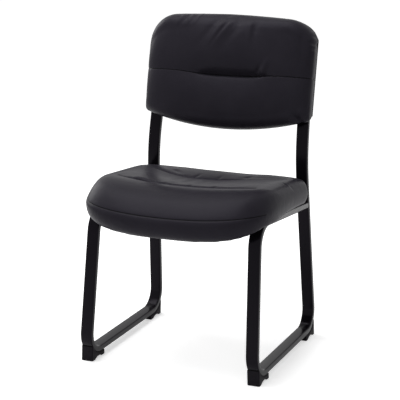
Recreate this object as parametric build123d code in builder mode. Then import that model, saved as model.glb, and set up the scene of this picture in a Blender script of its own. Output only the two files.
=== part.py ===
from build123d import *
from math import cos, exp, hypot, pi, radians, sin, sqrt, tan
import os

# An armless waiting room chair. Millimetres and degrees, floor at Z = 0, front towards -Y.

# Side frames: one bent flat tube a side
FLOOR_WIDTH = 491.0  # over the sleds, on the floor
SPLAY = 1.83  # each side frame leans in by this much
TUBE_WIDTH = 31.5  # across the chair
TUBE_DEPTH = 16.0  # along the side of the chair
TUBE_WALL = 1.5
TUBE_CORNER = 1.8
RAIL_LIFT = 13.0  # from the floor to the underside of the floor rail
FRONT_FOOT = -215.5  # where the centre lines of rail and front leg cross
REAR_FOOT = 227.8
FRONT_LEAN = 6.9
REAR_LEAN = 5.7
SEAT_RAIL_HEIGHT = 399.5  # centre line of the seat rail at its front corner
SEAT_RAKE = 5.0  # the seat rail falls to the rear
KINK_HEIGHT = 490.0  # where the rear leg turns back into the upright
RECLINE = 11.5
UPRIGHT_HEIGHT = 788.0
FLOOR_BEND = 52.5
SEAT_BEND = 60.0
KINK_BEND = 400.0

# Cross tubes between the seat rails
CROSS_FRONT = 13.4  # ahead of the middle of the seat's rounded front
CROSS_REAR = 71.4  # ahead of the rear of the seat cushion
CROSS_DROP = 0.9  # below the top of the seat rails

# Glides
GLIDE_SET_IN = 8.4  # front wall of a glide, in from the outside of the bend
GLIDE_HEIGHT = 42.0
GLIDE_HEEL = 16.0  # along the straight rail, past the bend
GLIDE_SIDE = 0.6  # wider than the tube by this much a side
GLIDE_TOE = 14.0
GLIDE_ARCH = 6.0
GLIDE_CORNER = 2.5
PEG = 8.0  # moulded square peg that snaps into the rail
PEG_REACH = 3.0  # past the wall of the rail

# Upholstery in general
COVER = 2.0  # cover with its backing
SOFT_GAP = 0.3
BOARD = 12.0
SCREW = 5.0
SCREW_SIDES = 8  # shanks and their holes have flat sides, which keeps them light
SCREW_HEAD = 10.0  # across the flats
SCREW_HEAD_HEIGHT = 3.5
SCREW_BITE = 9.5  # into the board
FIT = 0.15  # play between rigid pieces

# Seat cushion: heights are over the seat rails
SEAT_DEPTH = 445.0
SEAT_REAR_GAP = 6.0  # from the rear of the cushion to the rear legs
SEAT_OVERHANG = 17.5  # past the outside of the seat rails
SEAT_HEIGHT = 73.5  # along the sides
SIDE_POWER = 20  # the higher, the tighter the top turns into the sides
SEAT_DISH = 13.0  # lower in the middle
SIDE_LEVEL = 20.0  # the side is widest here
REAR_ROUND = 60.0
REAR_POWER = 8
REAR_TUCK = 5.0  # the lower rear edge turns in
REAR_EDGE = 8.0  # the upper rear edge is over the widest line by this much
SHOULDER_IN = 14.0  # the top starts to fall this far from the rear
SHOULDER_DROP = 3.0
NOSE_DEPTH = 205.0  # length of the rounded front in plan
NOSE_POWER = 3.5  # 2 would be an ellipse
NOSE_DROP = 55.5  # the front border hangs below the rails
NOSE_LEVEL = 10.0
BORDER_SEAM = 1.5  # seam on top of the front border, in the middle
SEAM_RISE = 19.0  # from there to the corners
BORDER_BULGE = 20.0  # below the seam
BORDER_POWER = 3
BORDER_STEP = 1.0  # of the border at the seam
SEAM_IN = 3.0  # seam behind the border, at the sides
SEAM_IN_MIDDLE = 5.0  # further in the middle
ROLL_WIDTH = 75.0  # foam that wraps under the front of the board
ROLL_UNDER = 20.0  # the roll leaves the rails this far in, at the sides
ROLL_UNDER_SHARE = 0.75  # and by this share of the roll in the middle
ROLL_LOW = 6.0  # its lowest line, at the sides
ROLL_LOW_SHARE = 0.35
ROLL_BOW = 7.0  # how far the roll swells under the border
LEAST_BOW = 0.5
NOSE_CROWN = 0.135  # shares of their length
MIDDLE_CROWN = 0.025
MIDDLE_PULL = 0.035  # more where the channels are pulled down
TAIL_CROWN = 0.03
TAIL_PULL = 0.04
FIRST_CHANNEL = 0.425  # share of the depth, from the front
SECOND_CHANNEL = 0.649
FIRST_CURVE = 0.112  # the channels curve back towards the sides
SECOND_CURVE = 0.212
CHANNEL_DEPTH = 9.0
CHANNEL_SPAN = 125.0
PULL_POWER = 4  # how sharply the pull ends at that span
CREASE = 2.0
LINING_TURN = 4.0  # the inside forms turn in by this many skins at the sides
LINING_POWER = 12
SEAT_BOARD_INSET = 25.0
SEAT_BOARD_NOSE = 36.0
HEM_OPENING_INSET = 62.0
DUST_COVER = 0.6
DUST_COVER_LAP = 12.0
SEAT_SCREW_X = 140.0
SEAT_STATIONS = (0, 0.33, 0.62, 0.83, 0.94, 0.987)  # side views, as shares of half the width

# Back cushion: lengths along the uprights are from its lower corners
BACK_BASE = 590.0
BACK_TOP = 268.5
BACK_TOP_BOW = 9.0  # the top edge falls to the sides
BACK_SAG = 36.0  # the lower edge hangs in the middle
BACK_OVERHANG = 8.0  # past the outside of the uprights
BACK_CORNER = 75.0
BACK_REAR_CORNER = 50.0  # the cover is pulled tighter behind
BACK_REAR_DROP = 10.0  # the rear edge is lower than the top
BACK_REAR_TUCK = 12.0  # and higher than the lower edge
BACK_REAR_POWER = 60
BACK_FOAM = 54.0  # over the board, in the middle
BACK_SIDE = 24.0  # the side is widest this far ahead of the uprights
BACK_SIDE_POWER = 5
LOWER_FACE = 6.0  # the parts over and under the seam are this far behind the foam's front
UPPER_FACE = 12.0
LOWER_ROUND = 34.0  # height of the rounded lower edge
LOWER_SHARE = 0.35  # its lowest line, as a share of the depth
UPPER_ROUND = 40.0
UPPER_SHARE = 0.1
LOWER_BOW = 9.0  # how far the parts of the side view swell
UPPER_BOW = 10.0
FACE_BOW = 6.0
FACE_PULL_BOW = 5.0  # more where the seam is pulled in
BACK_PANEL = 2.5
BACK_SEAM = 112.0
BACK_SEAM_BOW = 6.0
BACK_SEAM_DEPTH = 15.0
BACK_SEAM_LEAD = 4.0  # the two parts swell past the seam at the sides
BACK_SEAM_SPAN = 110.0
BACK_BOARD_INSET = 13.0
BACK_PANEL_INSET = 24.0
BACK_STATIONS = (0, 0.33, 0.62, 0.8, 0.92, 0.983)
PLUG_CAP = 2.5
PLUG_LENGTH = 20.0

# Planes that the pieces are set out on
rail_height = RAIL_LIFT + TUBE_DEPTH / 2
splay = radians(SPLAY)
rake = radians(SEAT_RAKE)
recline = radians(RECLINE)
centre_offset = FLOOR_WIDTH / 2 - TUBE_WIDTH / 2 / cos(splay)
frame_plane = Plane((centre_offset, 0, 0), x_dir=(0, 1, 0), z_dir=(cos(splay), 0, sin(splay)))

front_foot = (FRONT_FOOT, rail_height)
rear_foot = (REAR_FOOT, rail_height)
front_top = (FRONT_FOOT + (SEAT_RAIL_HEIGHT - rail_height) * tan(radians(FRONT_LEAN)), SEAT_RAIL_HEIGHT)
kink = (REAR_FOOT - (KINK_HEIGHT - rail_height) * tan(radians(REAR_LEAN)), KINK_HEIGHT)
upright_top = (kink[0] + (UPRIGHT_HEIGHT - KINK_HEIGHT) * tan(recline), UPRIGHT_HEIGHT)

# The seat rail runs from its front corner down to the rear leg
leg_slope = tan(radians(REAR_LEAN))
rail_slope = tan(rake)
rail_drop = SEAT_RAIL_HEIGHT + front_top[0] * rail_slope - rail_height
joint_y = (REAR_FOOT - rail_drop * leg_slope) / (1 - leg_slope * rail_slope)
joint_z = SEAT_RAIL_HEIGHT - (joint_y - front_top[0]) * rail_slope
rail_stop = (joint_y - TUBE_DEPTH * cos(rake), joint_z + TUBE_DEPTH * sin(rake))
skew = radians(SEAT_RAKE + REAR_LEAN)
to_leg = TUBE_DEPTH - TUBE_DEPTH / 2 / cos(skew)
skew_reach = TUBE_DEPTH / 2 * tan(skew)

# Seat plane: on top of the seat rails, X across, Y to the rear
seat_origin_z = SEAT_RAIL_HEIGHT + front_top[0] * rail_slope + TUBE_DEPTH / 2 / cos(rake)
rail_top_rise = TUBE_WIDTH / 2 * sin(splay)
seat_plane = Plane(
    (0, 0, seat_origin_z * cos(splay) + rail_top_rise),
    x_dir=(1, 0, 0),
    z_dir=(0, sin(rake), cos(rake)),
)

# Lines of the seat cushion in that plane
seat_rear = (joint_y - TUBE_DEPTH / 2 - SEAT_REAR_GAP) / cos(rake)
seat_front = seat_rear - SEAT_DEPTH
nose_centre = seat_front + NOSE_DEPTH
cross_front_y = nose_centre - CROSS_FRONT
cross_rear_y = seat_rear - CROSS_REAR

# Back plane: on the centre line of the uprights, X across, Y up along them, Z to the front
back_y = kink[0] + (BACK_BASE - KINK_HEIGHT) * tan(recline)
back_plane = Plane((0, back_y, BACK_BASE), x_dir=(1, 0, 0), z_dir=(0, -cos(recline), sin(recline)))


def frame_half(z):
    """Half the width over the side frames at a height."""
    return FLOOR_WIDTH / 2 - z * tan(splay)


def tube_middle(z):
    """Distance of a tube's centre line from the middle of the chair at a height."""
    return centre_offset - z * tan(splay)


def bowed(start, end, rise, pieces):
    """Points of a shallow bow, rise high, to the left of the way from start to end."""
    along = (end[0] - start[0], end[1] - start[1])
    points = []
    for piece in range(1, pieces + 1):
        u = piece / pieces
        lift = 4 * rise * u * (1 - u) / hypot(along[0], along[1])
        points.append((start[0] + u * along[0] - lift * along[1], start[1] + u * along[1] + lift * along[0]))
    return points


def tube_profile(inset=0):
    """Section of the flat tube with its corners broken, or of its bore."""
    outline = Rectangle(TUBE_WIDTH - 2 * inset, TUBE_DEPTH - 2 * inset)
    if inset <= 0:
        chamfer(outline.vertices(), TUBE_CORNER)


# Right side frame: the tube, the weld at the rear leg, then the bore
front_turn = radians(90 + FRONT_LEAN)
rear_turn = radians(90 + REAR_LEAN)
front_bend_y = FRONT_FOOT + FLOOR_BEND * tan(front_turn / 2)
rear_bend_y = REAR_FOOT - FLOOR_BEND * tan(rear_turn / 2)
bend_z = rail_height + FLOOR_BEND
bend_outer = FLOOR_BEND + TUBE_DEPTH / 2
peg_x = tube_middle(RAIL_LIFT)
pegs_at = [(peg_x, front_bend_y + GLIDE_HEEL / 2), (peg_x, rear_bend_y - GLIDE_HEEL / 2)]

with BuildPart() as right_frame:
    with BuildLine(frame_plane) as tube_line:
        FilletPolyline(
            upright_top,
            kink,
            rear_foot,
            front_foot,
            front_top,
            rail_stop,
            radius=[KINK_BEND, FLOOR_BEND, FLOOR_BEND, SEAT_BEND],
        )
    tube_path = tube_line.line
    tube_start = Plane(tube_path @ 0, x_dir=frame_plane.z_dir, z_dir=tube_path % 0)
    tube_end = Plane(tube_path @ 1, x_dir=frame_plane.z_dir, z_dir=tube_path % 1)
    with BuildSketch(tube_start):
        tube_profile()
    sweep(path=tube_path)
    with BuildSketch(tube_end):
        tube_profile()
    extrude(amount=to_leg + skew_reach + TUBE_WALL / 2)
    with BuildSketch(tube_start):
        tube_profile(TUBE_WALL)
    sweep(path=tube_path, mode=Mode.SUBTRACT)
    with BuildSketch(tube_end):
        tube_profile(TUBE_WALL)
    extrude(amount=to_leg - skew_reach, mode=Mode.SUBTRACT)
    # Holes for the pegs of the glides, through the lower wall only
    with BuildSketch(Plane.XY):
        with Locations(pegs_at):
            Rectangle(PEG + 2 * FIT, PEG + 2 * FIT)
    extrude(amount=rail_height, mode=Mode.SUBTRACT)

with BuildPart() as left_frame:
    add(right_frame.part)
    mirror(about=Plane.YZ, mode=Mode.REPLACE)


# Cross tubes: the same tube laid flat, cut to the inner faces of the seat rails
def shank(play, mode=Mode.ADD):
    """Section of a screw's shank, or of its hole with some play."""
    RegularPolygon(SCREW / 2 + play, SCREW_SIDES, major_radius=False, mode=mode)


def cross_tube(y):
    """One cross tube under the seat with its two screw holes."""
    across = Plane((0, 0, 0), x_dir=seat_plane.y_dir, z_dir=(1, 0, 0))
    level = -CROSS_DROP - TUBE_DEPTH / 2
    middle = seat_plane.from_local_coords((0, y, level))
    section = Plane(middle, x_dir=across.x_dir, z_dir=across.z_dir)
    inner = frame_plane.offset(-TUBE_WIDTH / 2 - FIT / 3)
    with BuildPart() as tube:
        with BuildSketch(section):
            tube_profile()
            Rectangle(TUBE_WIDTH - 2 * TUBE_WALL, TUBE_DEPTH - 2 * TUBE_WALL, mode=Mode.SUBTRACT)
        extrude(amount=FLOOR_WIDTH / 2, both=True)
        split(bisect_by=inner, keep=Keep.BOTTOM)
        split(bisect_by=mirrored_plane(inner), keep=Keep.BOTTOM)
        with BuildSketch(seat_plane):
            with Locations((-SEAT_SCREW_X, y), (SEAT_SCREW_X, y)):
                shank(FIT)
        extrude(amount=-2 * TUBE_DEPTH, mode=Mode.SUBTRACT)
    return tube


def mirrored_plane(plane):
    """The same plane on the left of the chair, facing left."""
    origin, normal = plane.origin, plane.z_dir
    return Plane(
        (-origin.X, origin.Y, origin.Z),
        x_dir=(plane.x_dir.X, plane.x_dir.Y, plane.x_dir.Z),
        z_dir=(-normal.X, normal.Y, normal.Z),
    )


front_cross = cross_tube(cross_front_y)
rear_cross = cross_tube(cross_rear_y)

# Plugs in the top ends of the uprights
with BuildPart() as right_plug:
    with BuildSketch(Plane(tube_start.origin, x_dir=tube_start.x_dir, z_dir=-tube_start.z_dir)):
        tube_profile()
    extrude(amount=PLUG_CAP)
    with BuildSketch(tube_start):
        tube_profile(TUBE_WALL + FIT)
    extrude(amount=PLUG_LENGTH)

with BuildPart() as left_plug:
    add(right_plug.part)
    mirror(about=Plane.YZ, mode=Mode.REPLACE)


# Glides: a shoe under each bend, arched between toe and heel
def glide(bend_y, facing):
    """Shoe on the right side frame; facing is -1 at the front and 1 at the rear."""
    toe = bend_y + facing * (bend_outer - GLIDE_SET_IN)
    heel = bend_y - facing * GLIDE_HEEL
    half_width = TUBE_WIDTH / 2 + GLIDE_SIDE
    span = abs(toe - heel) - 2 * GLIDE_TOE
    arch_radius = (span * span / 4 + GLIDE_ARCH * GLIDE_ARCH) / 2 / GLIDE_ARCH
    with BuildPart() as shoe:
        with BuildSketch(frame_plane):
            with Locations(((toe + heel) / 2, (GLIDE_HEIGHT - GLIDE_ARCH) / 2)):
                Rectangle(abs(toe - heel), GLIDE_HEIGHT + GLIDE_ARCH)
            with Locations((bend_y, bend_z)):
                Circle(bend_outer + FIT, mode=Mode.SUBTRACT)
            with Locations(((bend_y + heel) / 2, RAIL_LIFT - FIT + GLIDE_HEIGHT / 2)):
                Rectangle(GLIDE_HEEL, GLIDE_HEIGHT, mode=Mode.SUBTRACT)
            with Locations(((toe + heel) / 2, GLIDE_ARCH - arch_radius)):
                Circle(arch_radius, mode=Mode.SUBTRACT)
        extrude(amount=half_width, both=True)
        split(bisect_by=Plane.XY, keep=Keep.TOP)
        with BuildSketch(Plane.XY.offset(GLIDE_ARCH)):
            with Locations((peg_x, bend_y - facing * GLIDE_HEEL / 2)):
                Rectangle(PEG, PEG)
        extrude(amount=RAIL_LIFT + TUBE_WALL + PEG_REACH - GLIDE_ARCH)
        upright_edges = shoe.edges().filter_by(lambda e: e.length > GLIDE_HEIGHT / 2)
        front_edges = upright_edges.filter_by(lambda e: abs((e @ 0.5).Y - toe) < FIT)
        chamfer(front_edges.filter_by(lambda e: abs((e % 0.5).Z) > 0.9), GLIDE_CORNER)
    return shoe


front_right_glide = glide(front_bend_y, -1)
rear_right_glide = glide(rear_bend_y, 1)

with BuildPart() as front_left_glide:
    add(front_right_glide.part)
    mirror(about=Plane.YZ, mode=Mode.REPLACE)

with BuildPart() as rear_left_glide:
    add(rear_right_glide.part)
    mirror(about=Plane.YZ, mode=Mode.REPLACE)

# Seat cushion: side views from left to right, lofted
seat_half = frame_half(seat_plane.origin.Z) + SEAT_OVERHANG


def both_sides(stations, skin):
    """Stations from the left edge over the middle to the right; an inside form leaves one out."""
    half = stations[:1] + stations[2:] if skin else stations
    return [-s for s in reversed(half[1:])] + list(half)


def seat_side_view(station, skin):
    """Side view of the seat cushion, drawn in by skin; station runs from 0 to 1 at the side."""
    s = abs(station)
    x = station * (seat_half - skin)
    top_round = sqrt(1 - s**SIDE_POWER)
    border = sqrt(1 - s**BORDER_POWER)
    front = seat_front + NOSE_DEPTH * (1 - (1 - s**NOSE_POWER) ** (1 / NOSE_POWER)) + skin
    rear = seat_rear - REAR_ROUND * (1 - sqrt(1 - s**REAR_POWER)) - skin
    dish = 1 if skin else (1 - s * s) ** 2
    crown = SEAT_HEIGHT - SEAT_DISH * dish - skin
    pulled = 1 if skin else exp(-((x / CHANNEL_SPAN) ** PULL_POWER))
    crease = SIDE_LEVEL + (crown - CHANNEL_DEPTH * pulled - CREASE - SIDE_LEVEL) * top_round
    shoulder = SIDE_LEVEL + (crown - CREASE - SIDE_LEVEL) * top_round
    base = SOFT_GAP + skin
    seam = BORDER_SEAM + SEAM_RISE * s * s - skin / 2
    bulge = seam - BORDER_BULGE * border * border - BORDER_STEP * border
    low = NOSE_LEVEL - (NOSE_LEVEL + NOSE_DROP) * border + skin
    wave = (1 - cos(pi * s)) / 2
    first = front + (FIRST_CHANNEL + FIRST_CURVE * wave) * (rear - front)
    second = front + (SECOND_CHANNEL + SECOND_CURVE * wave) * (rear - front)
    roll = ROLL_WIDTH * border
    turn = LINING_TURN * skin * s**LINING_POWER
    p_rear = (rear - REAR_TUCK, base)
    p_under = (front + ROLL_UNDER + ROLL_UNDER_SHARE * roll - 2 * skin - turn, base)
    p_low = (front + ROLL_LOW + ROLL_LOW_SHARE * roll - skin - turn / 4, low)
    p_front = (front, bulge)
    p_seam = (front + SEAM_IN + SEAM_IN_MIDDLE * border, seam + BORDER_STEP * (1 - border))
    p_first = (first, crease)
    p_second = (second, crease)
    p_shoulder = (rear - SHOULDER_IN * top_round - LEAST_BOW, shoulder - SHOULDER_DROP * top_round)
    p_back = (rear, SIDE_LEVEL + REAR_EDGE * top_round)
    nose_rise = (first - p_seam[0]) * NOSE_CROWN * top_round + LEAST_BOW
    middle_rise = (second - first) * (MIDDLE_CROWN + MIDDLE_PULL * pulled) * top_round + LEAST_BOW
    tail_rise = (p_shoulder[0] - second) * (TAIL_CROWN + TAIL_PULL * pulled) * top_round + LEAST_BOW
    outline = [p_rear, p_under]
    if skin:
        outline += [p_low, p_seam]
        outline += bowed(p_seam, p_first, nose_rise, 2)
        outline += [(p_shoulder[0], crease - CREASE), p_back]
    else:
        outline += [p_low]
        outline += bowed(p_low, p_front, LEAST_BOW + ROLL_BOW * border, 2)
        outline += [p_seam]
        outline += bowed(p_seam, p_first, nose_rise, 3)
        outline += bowed(p_first, p_second, middle_rise, 2)
        outline += bowed(p_second, p_shoulder, tail_rise, 2)
        outline += [p_back]
    station_plane = Plane(seat_plane.from_local_coords((x, 0, 0)), seat_plane.y_dir, (1, 0, 0))
    with BuildSketch(station_plane) as view:
        with BuildLine():
            Polyline(*outline, close=True)
        make_face()
    return view.sketch


def seat_form(skin):
    """The seat cushion's form, drawn in by skin and plain on top where it is inside."""
    with BuildPart() as form:
        views = [seat_side_view(station, skin) for station in both_sides(SEAT_STATIONS, skin)]
        loft(sections=views, ruled=True)
    return form


seat_outside = seat_form(0)
seat_inside = seat_form(COVER)
seat_filling = seat_form(COVER + 2 * SOFT_GAP)


def seat_plan(inset, nose_inset):
    """Plan of the seat board, or of an opening under it: half an ellipse, then a rectangle."""
    half = seat_half - inset
    rear = seat_rear - inset
    with BuildSketch() as plan:
        with BuildLine():
            EllipticalCenterArc((0, nose_centre), half, NOSE_DEPTH - nose_inset, 180, arc_size=180)
            Polyline((half, nose_centre), (half, rear), (-half, rear), (-half, nose_centre))
        make_face()
        fillet(plan.vertices().group_by(Axis.Y)[-1], REAR_ROUND / 2)
    return plan.sketch


seat_screws_at = [(x, y) for y in (cross_front_y, cross_rear_y) for x in (-SEAT_SCREW_X, SEAT_SCREW_X)]
board_low = 2 * SOFT_GAP + COVER
board_top = board_low + BOARD

with BuildPart() as seat_board:
    with BuildSketch(seat_plane.offset(board_low)):
        add(seat_plan(SEAT_BOARD_INSET, SEAT_BOARD_NOSE))
    extrude(amount=BOARD)
    with BuildSketch(seat_plane.offset(board_low)):
        with Locations(seat_screws_at):
            shank(FIT)
    extrude(amount=SCREW_BITE + FIT, mode=Mode.SUBTRACT)

with BuildPart() as seat_cover:
    add(seat_outside.part)
    add(seat_inside.part, mode=Mode.SUBTRACT)
    with BuildSketch(seat_plane.offset(-SOFT_GAP)):
        add(seat_plan(HEM_OPENING_INSET, HEM_OPENING_INSET + ROLL_WIDTH))
    extrude(amount=board_low + SOFT_GAP, mode=Mode.SUBTRACT)

with BuildPart() as seat_foam:
    add(seat_filling.part)
    with BuildSketch(seat_plane.offset(-SOFT_GAP)):
        add(seat_plan(SEAT_BOARD_INSET - SOFT_GAP, SEAT_BOARD_NOSE - SOFT_GAP))
    extrude(amount=board_top + 2 * SOFT_GAP, mode=Mode.SUBTRACT)

with BuildPart() as dust_cover:
    with BuildSketch(seat_plane.offset(SOFT_GAP / 2 - DUST_COVER)):
        add(seat_plan(HEM_OPENING_INSET - DUST_COVER_LAP, HEM_OPENING_INSET + ROLL_WIDTH - DUST_COVER_LAP))
        with Locations(seat_screws_at):
            shank(FIT, Mode.SUBTRACT)
    extrude(amount=DUST_COVER)


# Screws of the seat board
def screws(plane, points, length):
    """Hexagon head screws with their heads below a plane and their shanks above it."""
    with BuildPart() as group:
        with BuildSketch(plane):
            with Locations(points):
                shank(0)
        extrude(amount=length)
        with BuildSketch(plane):
            with Locations(points):
                RegularPolygon(SCREW_HEAD / 2, 6, major_radius=False)
        extrude(amount=-SCREW_HEAD_HEIGHT)
    return group


seat_screw_low = -CROSS_DROP - TUBE_DEPTH
seat_screw_length = board_low + SCREW_BITE - seat_screw_low
seat_screws = screws(seat_plane.offset(seat_screw_low), seat_screws_at, seat_screw_length)

# Back cushion: side views from left to right, lofted
back_half = frame_half(BACK_BASE) + BACK_OVERHANG
board_rear = TUBE_DEPTH / 2 + FIT
board_front = board_rear + BOARD
panel_front = -TUBE_DEPTH / 2 - 3 * FIT
panel_rear = panel_front - BACK_PANEL
back_rear = -panel_rear + SOFT_GAP + COVER
back_front = -board_front - SOFT_GAP - BACK_FOAM


def corner_drop(station, radius):
    """How far a round upper corner falls below the top edge at a station."""
    into = max(0, station * back_half - back_half + radius)
    return radius - sqrt(radius * radius - into * into)


def back_side_view(station, skin):
    """Side view of the back cushion, drawn in by skin; X to the rear and Y up the uprights."""
    s = abs(station)
    x = station * (back_half - skin)
    front_round = sqrt(1 - s**BACK_SIDE_POWER)
    rear_round = (1 - s**BACK_REAR_POWER) ** (1 / 3)
    edge = BACK_TOP - BACK_TOP_BOW * s * s - skin
    top = edge - corner_drop(s, BACK_CORNER)
    rear_top = edge - corner_drop(s, BACK_REAR_CORNER) - BACK_REAR_DROP
    low = -BACK_SAG * (1 - s * s) + skin
    rear = (back_rear - skin + BACK_SIDE) * rear_round - BACK_SIDE
    lower_face = (back_front + skin + LOWER_FACE + BACK_SIDE) * front_round - BACK_SIDE
    upper_face = (back_front + skin + UPPER_FACE + BACK_SIDE) * front_round - BACK_SIDE
    pulled = 1 if skin else exp(-((x / BACK_SEAM_SPAN) ** PULL_POWER))
    seam_depth = (CREASE + BACK_SEAM_DEPTH * pulled - BACK_SEAM_LEAD) * front_round
    seam_at = BACK_SEAM - BACK_SEAM_BOW * pulled
    puff = LEAST_BOW + (FACE_BOW + FACE_PULL_BOW * pulled) * front_round
    q_rear = (rear, low + BACK_REAR_TUCK)
    q_low = (LOWER_SHARE * (lower_face + BACK_SIDE) - BACK_SIDE, low)
    q_front = (lower_face, low + LOWER_ROUND)
    q_seam = ((lower_face + upper_face) / 2 + seam_depth, seam_at)
    q_upper = (upper_face, top - UPPER_ROUND)
    q_top = (UPPER_SHARE * (upper_face + BACK_SIDE) - BACK_SIDE, top)
    q_end = (rear, rear_top)
    outline = [q_end, q_rear, q_low]
    if skin:
        outline += [q_front, q_seam, q_upper, q_top]
    else:
        outline += bowed(q_low, q_front, LEAST_BOW + LOWER_BOW * front_round, 2)
        outline += bowed(q_front, q_seam, puff, 2)
        outline += bowed(q_seam, q_upper, puff, 2)
        outline += bowed(q_upper, q_top, LEAST_BOW + UPPER_BOW * front_round, 2)
    station_plane = Plane(back_plane.from_local_coords((x, 0, 0)), -back_plane.z_dir, (1, 0, 0))
    with BuildSketch(station_plane) as view:
        with BuildLine():
            Polyline(*outline, close=True)
        make_face()
    return view.sketch


def back_form(skin):
    """The back cushion's form, drawn in by skin and plainer where it is inside."""
    with BuildPart() as form:
        views = [back_side_view(station, skin) for station in both_sides(BACK_STATIONS, skin)]
        loft(sections=views, ruled=True)
    return form


back_outside = back_form(0)
back_inside = back_form(COVER)
back_filling = back_form(COVER + 2 * SOFT_GAP)

# The uprights come in through two slots under the back
slot_plane = Plane(tube_start.origin, x_dir=tube_start.x_dir, z_dir=tube_start.z_dir)
slot_length = (UPRIGHT_HEIGHT - BACK_BASE) / cos(recline) + 2 * BACK_SAG
with BuildPart() as right_slot:
    with BuildSketch(slot_plane):
        tube_profile(-2 * FIT)
    extrude(amount=slot_length)

with BuildPart() as left_slot:
    add(right_slot.part)
    mirror(about=Plane.YZ, mode=Mode.REPLACE)

rear_seam = back_plane.offset(panel_rear - SOFT_GAP / 2)

with BuildPart() as back_cover:
    add(back_outside.part)
    add(back_inside.part, mode=Mode.SUBTRACT)
    split(bisect_by=rear_seam, keep=Keep.TOP)
    add(right_slot.part, mode=Mode.SUBTRACT)
    add(left_slot.part, mode=Mode.SUBTRACT)

with BuildPart() as back_rear_cover:
    add(back_outside.part)
    split(bisect_by=rear_seam.offset(-FIT), keep=Keep.BOTTOM)

with BuildPart() as back_foam:
    add(back_filling.part)
    split(bisect_by=back_plane.offset(board_front + SOFT_GAP), keep=Keep.TOP)


def back_plan(inset):
    """Front view of the back board and of the rear panel."""
    width = 2 * (back_half - inset)
    height = BACK_TOP - 2 * inset
    with Locations((0, BACK_TOP / 2)):
        RectangleRounded(width, height, BACK_CORNER - inset)


with BuildPart() as back_board:
    with BuildSketch(back_plane.offset(board_rear)):
        back_plan(BACK_BOARD_INSET)
    extrude(amount=BOARD)

with BuildPart() as back_panel:
    with BuildSketch(back_plane.offset(panel_rear)):
        back_plan(BACK_PANEL_INSET)
    extrude(amount=BACK_PANEL)

pieces = {
    "left_side_frame": left_frame,
    "right_side_frame": right_frame,
    "front_cross_tube": front_cross,
    "rear_cross_tube": rear_cross,
    "left_upright_plug": left_plug,
    "right_upright_plug": right_plug,
    "front_left_glide": front_left_glide,
    "front_right_glide": front_right_glide,
    "rear_left_glide": rear_left_glide,
    "rear_right_glide": rear_right_glide,
    "seat_board": seat_board,
    "seat_foam": seat_foam,
    "seat_cover": seat_cover,
    "seat_dust_cover": dust_cover,
    "seat_screws": seat_screws,
    "back_board": back_board,
    "back_foam": back_foam,
    "back_cover": back_cover,
    "back_rear_panel": back_panel,
    "back_rear_cover": back_rear_cover,
}
os.makedirs("parts", exist_ok=True)
for name, piece in pieces.items():
    piece.part.label = name
    export_step(piece.part, f"parts/{name}.step")
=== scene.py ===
import bpy
import bmesh
import cmath
import numpy as np
from math import cos, exp, pi, radians, sin, sqrt, tan
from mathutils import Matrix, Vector


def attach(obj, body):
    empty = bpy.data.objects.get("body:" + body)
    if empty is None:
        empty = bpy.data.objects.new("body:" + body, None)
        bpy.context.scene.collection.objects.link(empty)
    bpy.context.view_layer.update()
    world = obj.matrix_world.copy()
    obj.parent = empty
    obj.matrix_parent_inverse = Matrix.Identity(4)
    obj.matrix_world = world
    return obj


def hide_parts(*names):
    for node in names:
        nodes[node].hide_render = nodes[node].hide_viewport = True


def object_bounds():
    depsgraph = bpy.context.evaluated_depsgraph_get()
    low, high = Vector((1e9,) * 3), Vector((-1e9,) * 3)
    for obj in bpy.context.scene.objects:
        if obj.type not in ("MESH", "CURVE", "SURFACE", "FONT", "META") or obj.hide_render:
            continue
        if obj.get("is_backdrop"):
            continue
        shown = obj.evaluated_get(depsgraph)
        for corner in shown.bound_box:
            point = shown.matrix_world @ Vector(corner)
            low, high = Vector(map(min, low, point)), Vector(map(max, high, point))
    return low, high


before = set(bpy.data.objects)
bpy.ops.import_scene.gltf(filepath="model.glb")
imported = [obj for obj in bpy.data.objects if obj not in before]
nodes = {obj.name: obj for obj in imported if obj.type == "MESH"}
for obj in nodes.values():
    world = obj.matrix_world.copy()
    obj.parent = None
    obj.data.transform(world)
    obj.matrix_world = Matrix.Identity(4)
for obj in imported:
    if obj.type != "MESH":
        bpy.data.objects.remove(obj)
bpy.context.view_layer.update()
mm = 0.001


# Side frames
# Each is one flat steel tube, bent cold into upright, rear leg, floor rail, front leg and seat
# rail, the rail's end welded to the rear leg, then powder-coated black with a semi-gloss skin.
tube_width, tube_depth, tube_corner = 31.5 * mm, 16 * mm, 3.0 * mm
side_lean = radians(1.83)
side_middle = 229.74 * mm
upright_top = (241.6 + 788j) * mm
upright_kink = (181.0 + 490j) * mm
rear_foot = (227.8 + 21j) * mm
front_foot = (-215.5 + 21j) * mm
front_top = (-169.7 + 399.5j) * mm
rail_joint = (193.2 + 367.8j) * mm
kink_bend, floor_bend, seat_bend = 400 * mm, 52.5 * mm, 60 * mm
rail_into_leg = 1.0 * mm


def linear(colour):
    """An sRGB hex colour as linear RGBA."""
    parts = [int(colour[i:i + 2], 16) / 255 for i in (1, 3, 5)]
    return [p / 12.92 if p <= 0.04045 else ((p + 0.055) / 1.055) ** 2.4 for p in parts] + [1.0]


def add_node(tree, kind, inputs, **settings):
    """Adds a node with its settings; an input is a value or the socket it is linked from."""
    node = tree.nodes.new(kind)
    for name, value in settings.items():
        setattr(node, name, value)
    for name, value in inputs.items():
        if isinstance(value, bpy.types.NodeSocket):
            tree.links.new(value, node.inputs[name])
        else:
            node.inputs[name].default_value = value
    return node


def new_material(name):
    """An empty node material and its tree."""
    material = bpy.data.materials.new(name)
    material.use_nodes = True
    material.node_tree.nodes.clear()
    return material, material.node_tree


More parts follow.
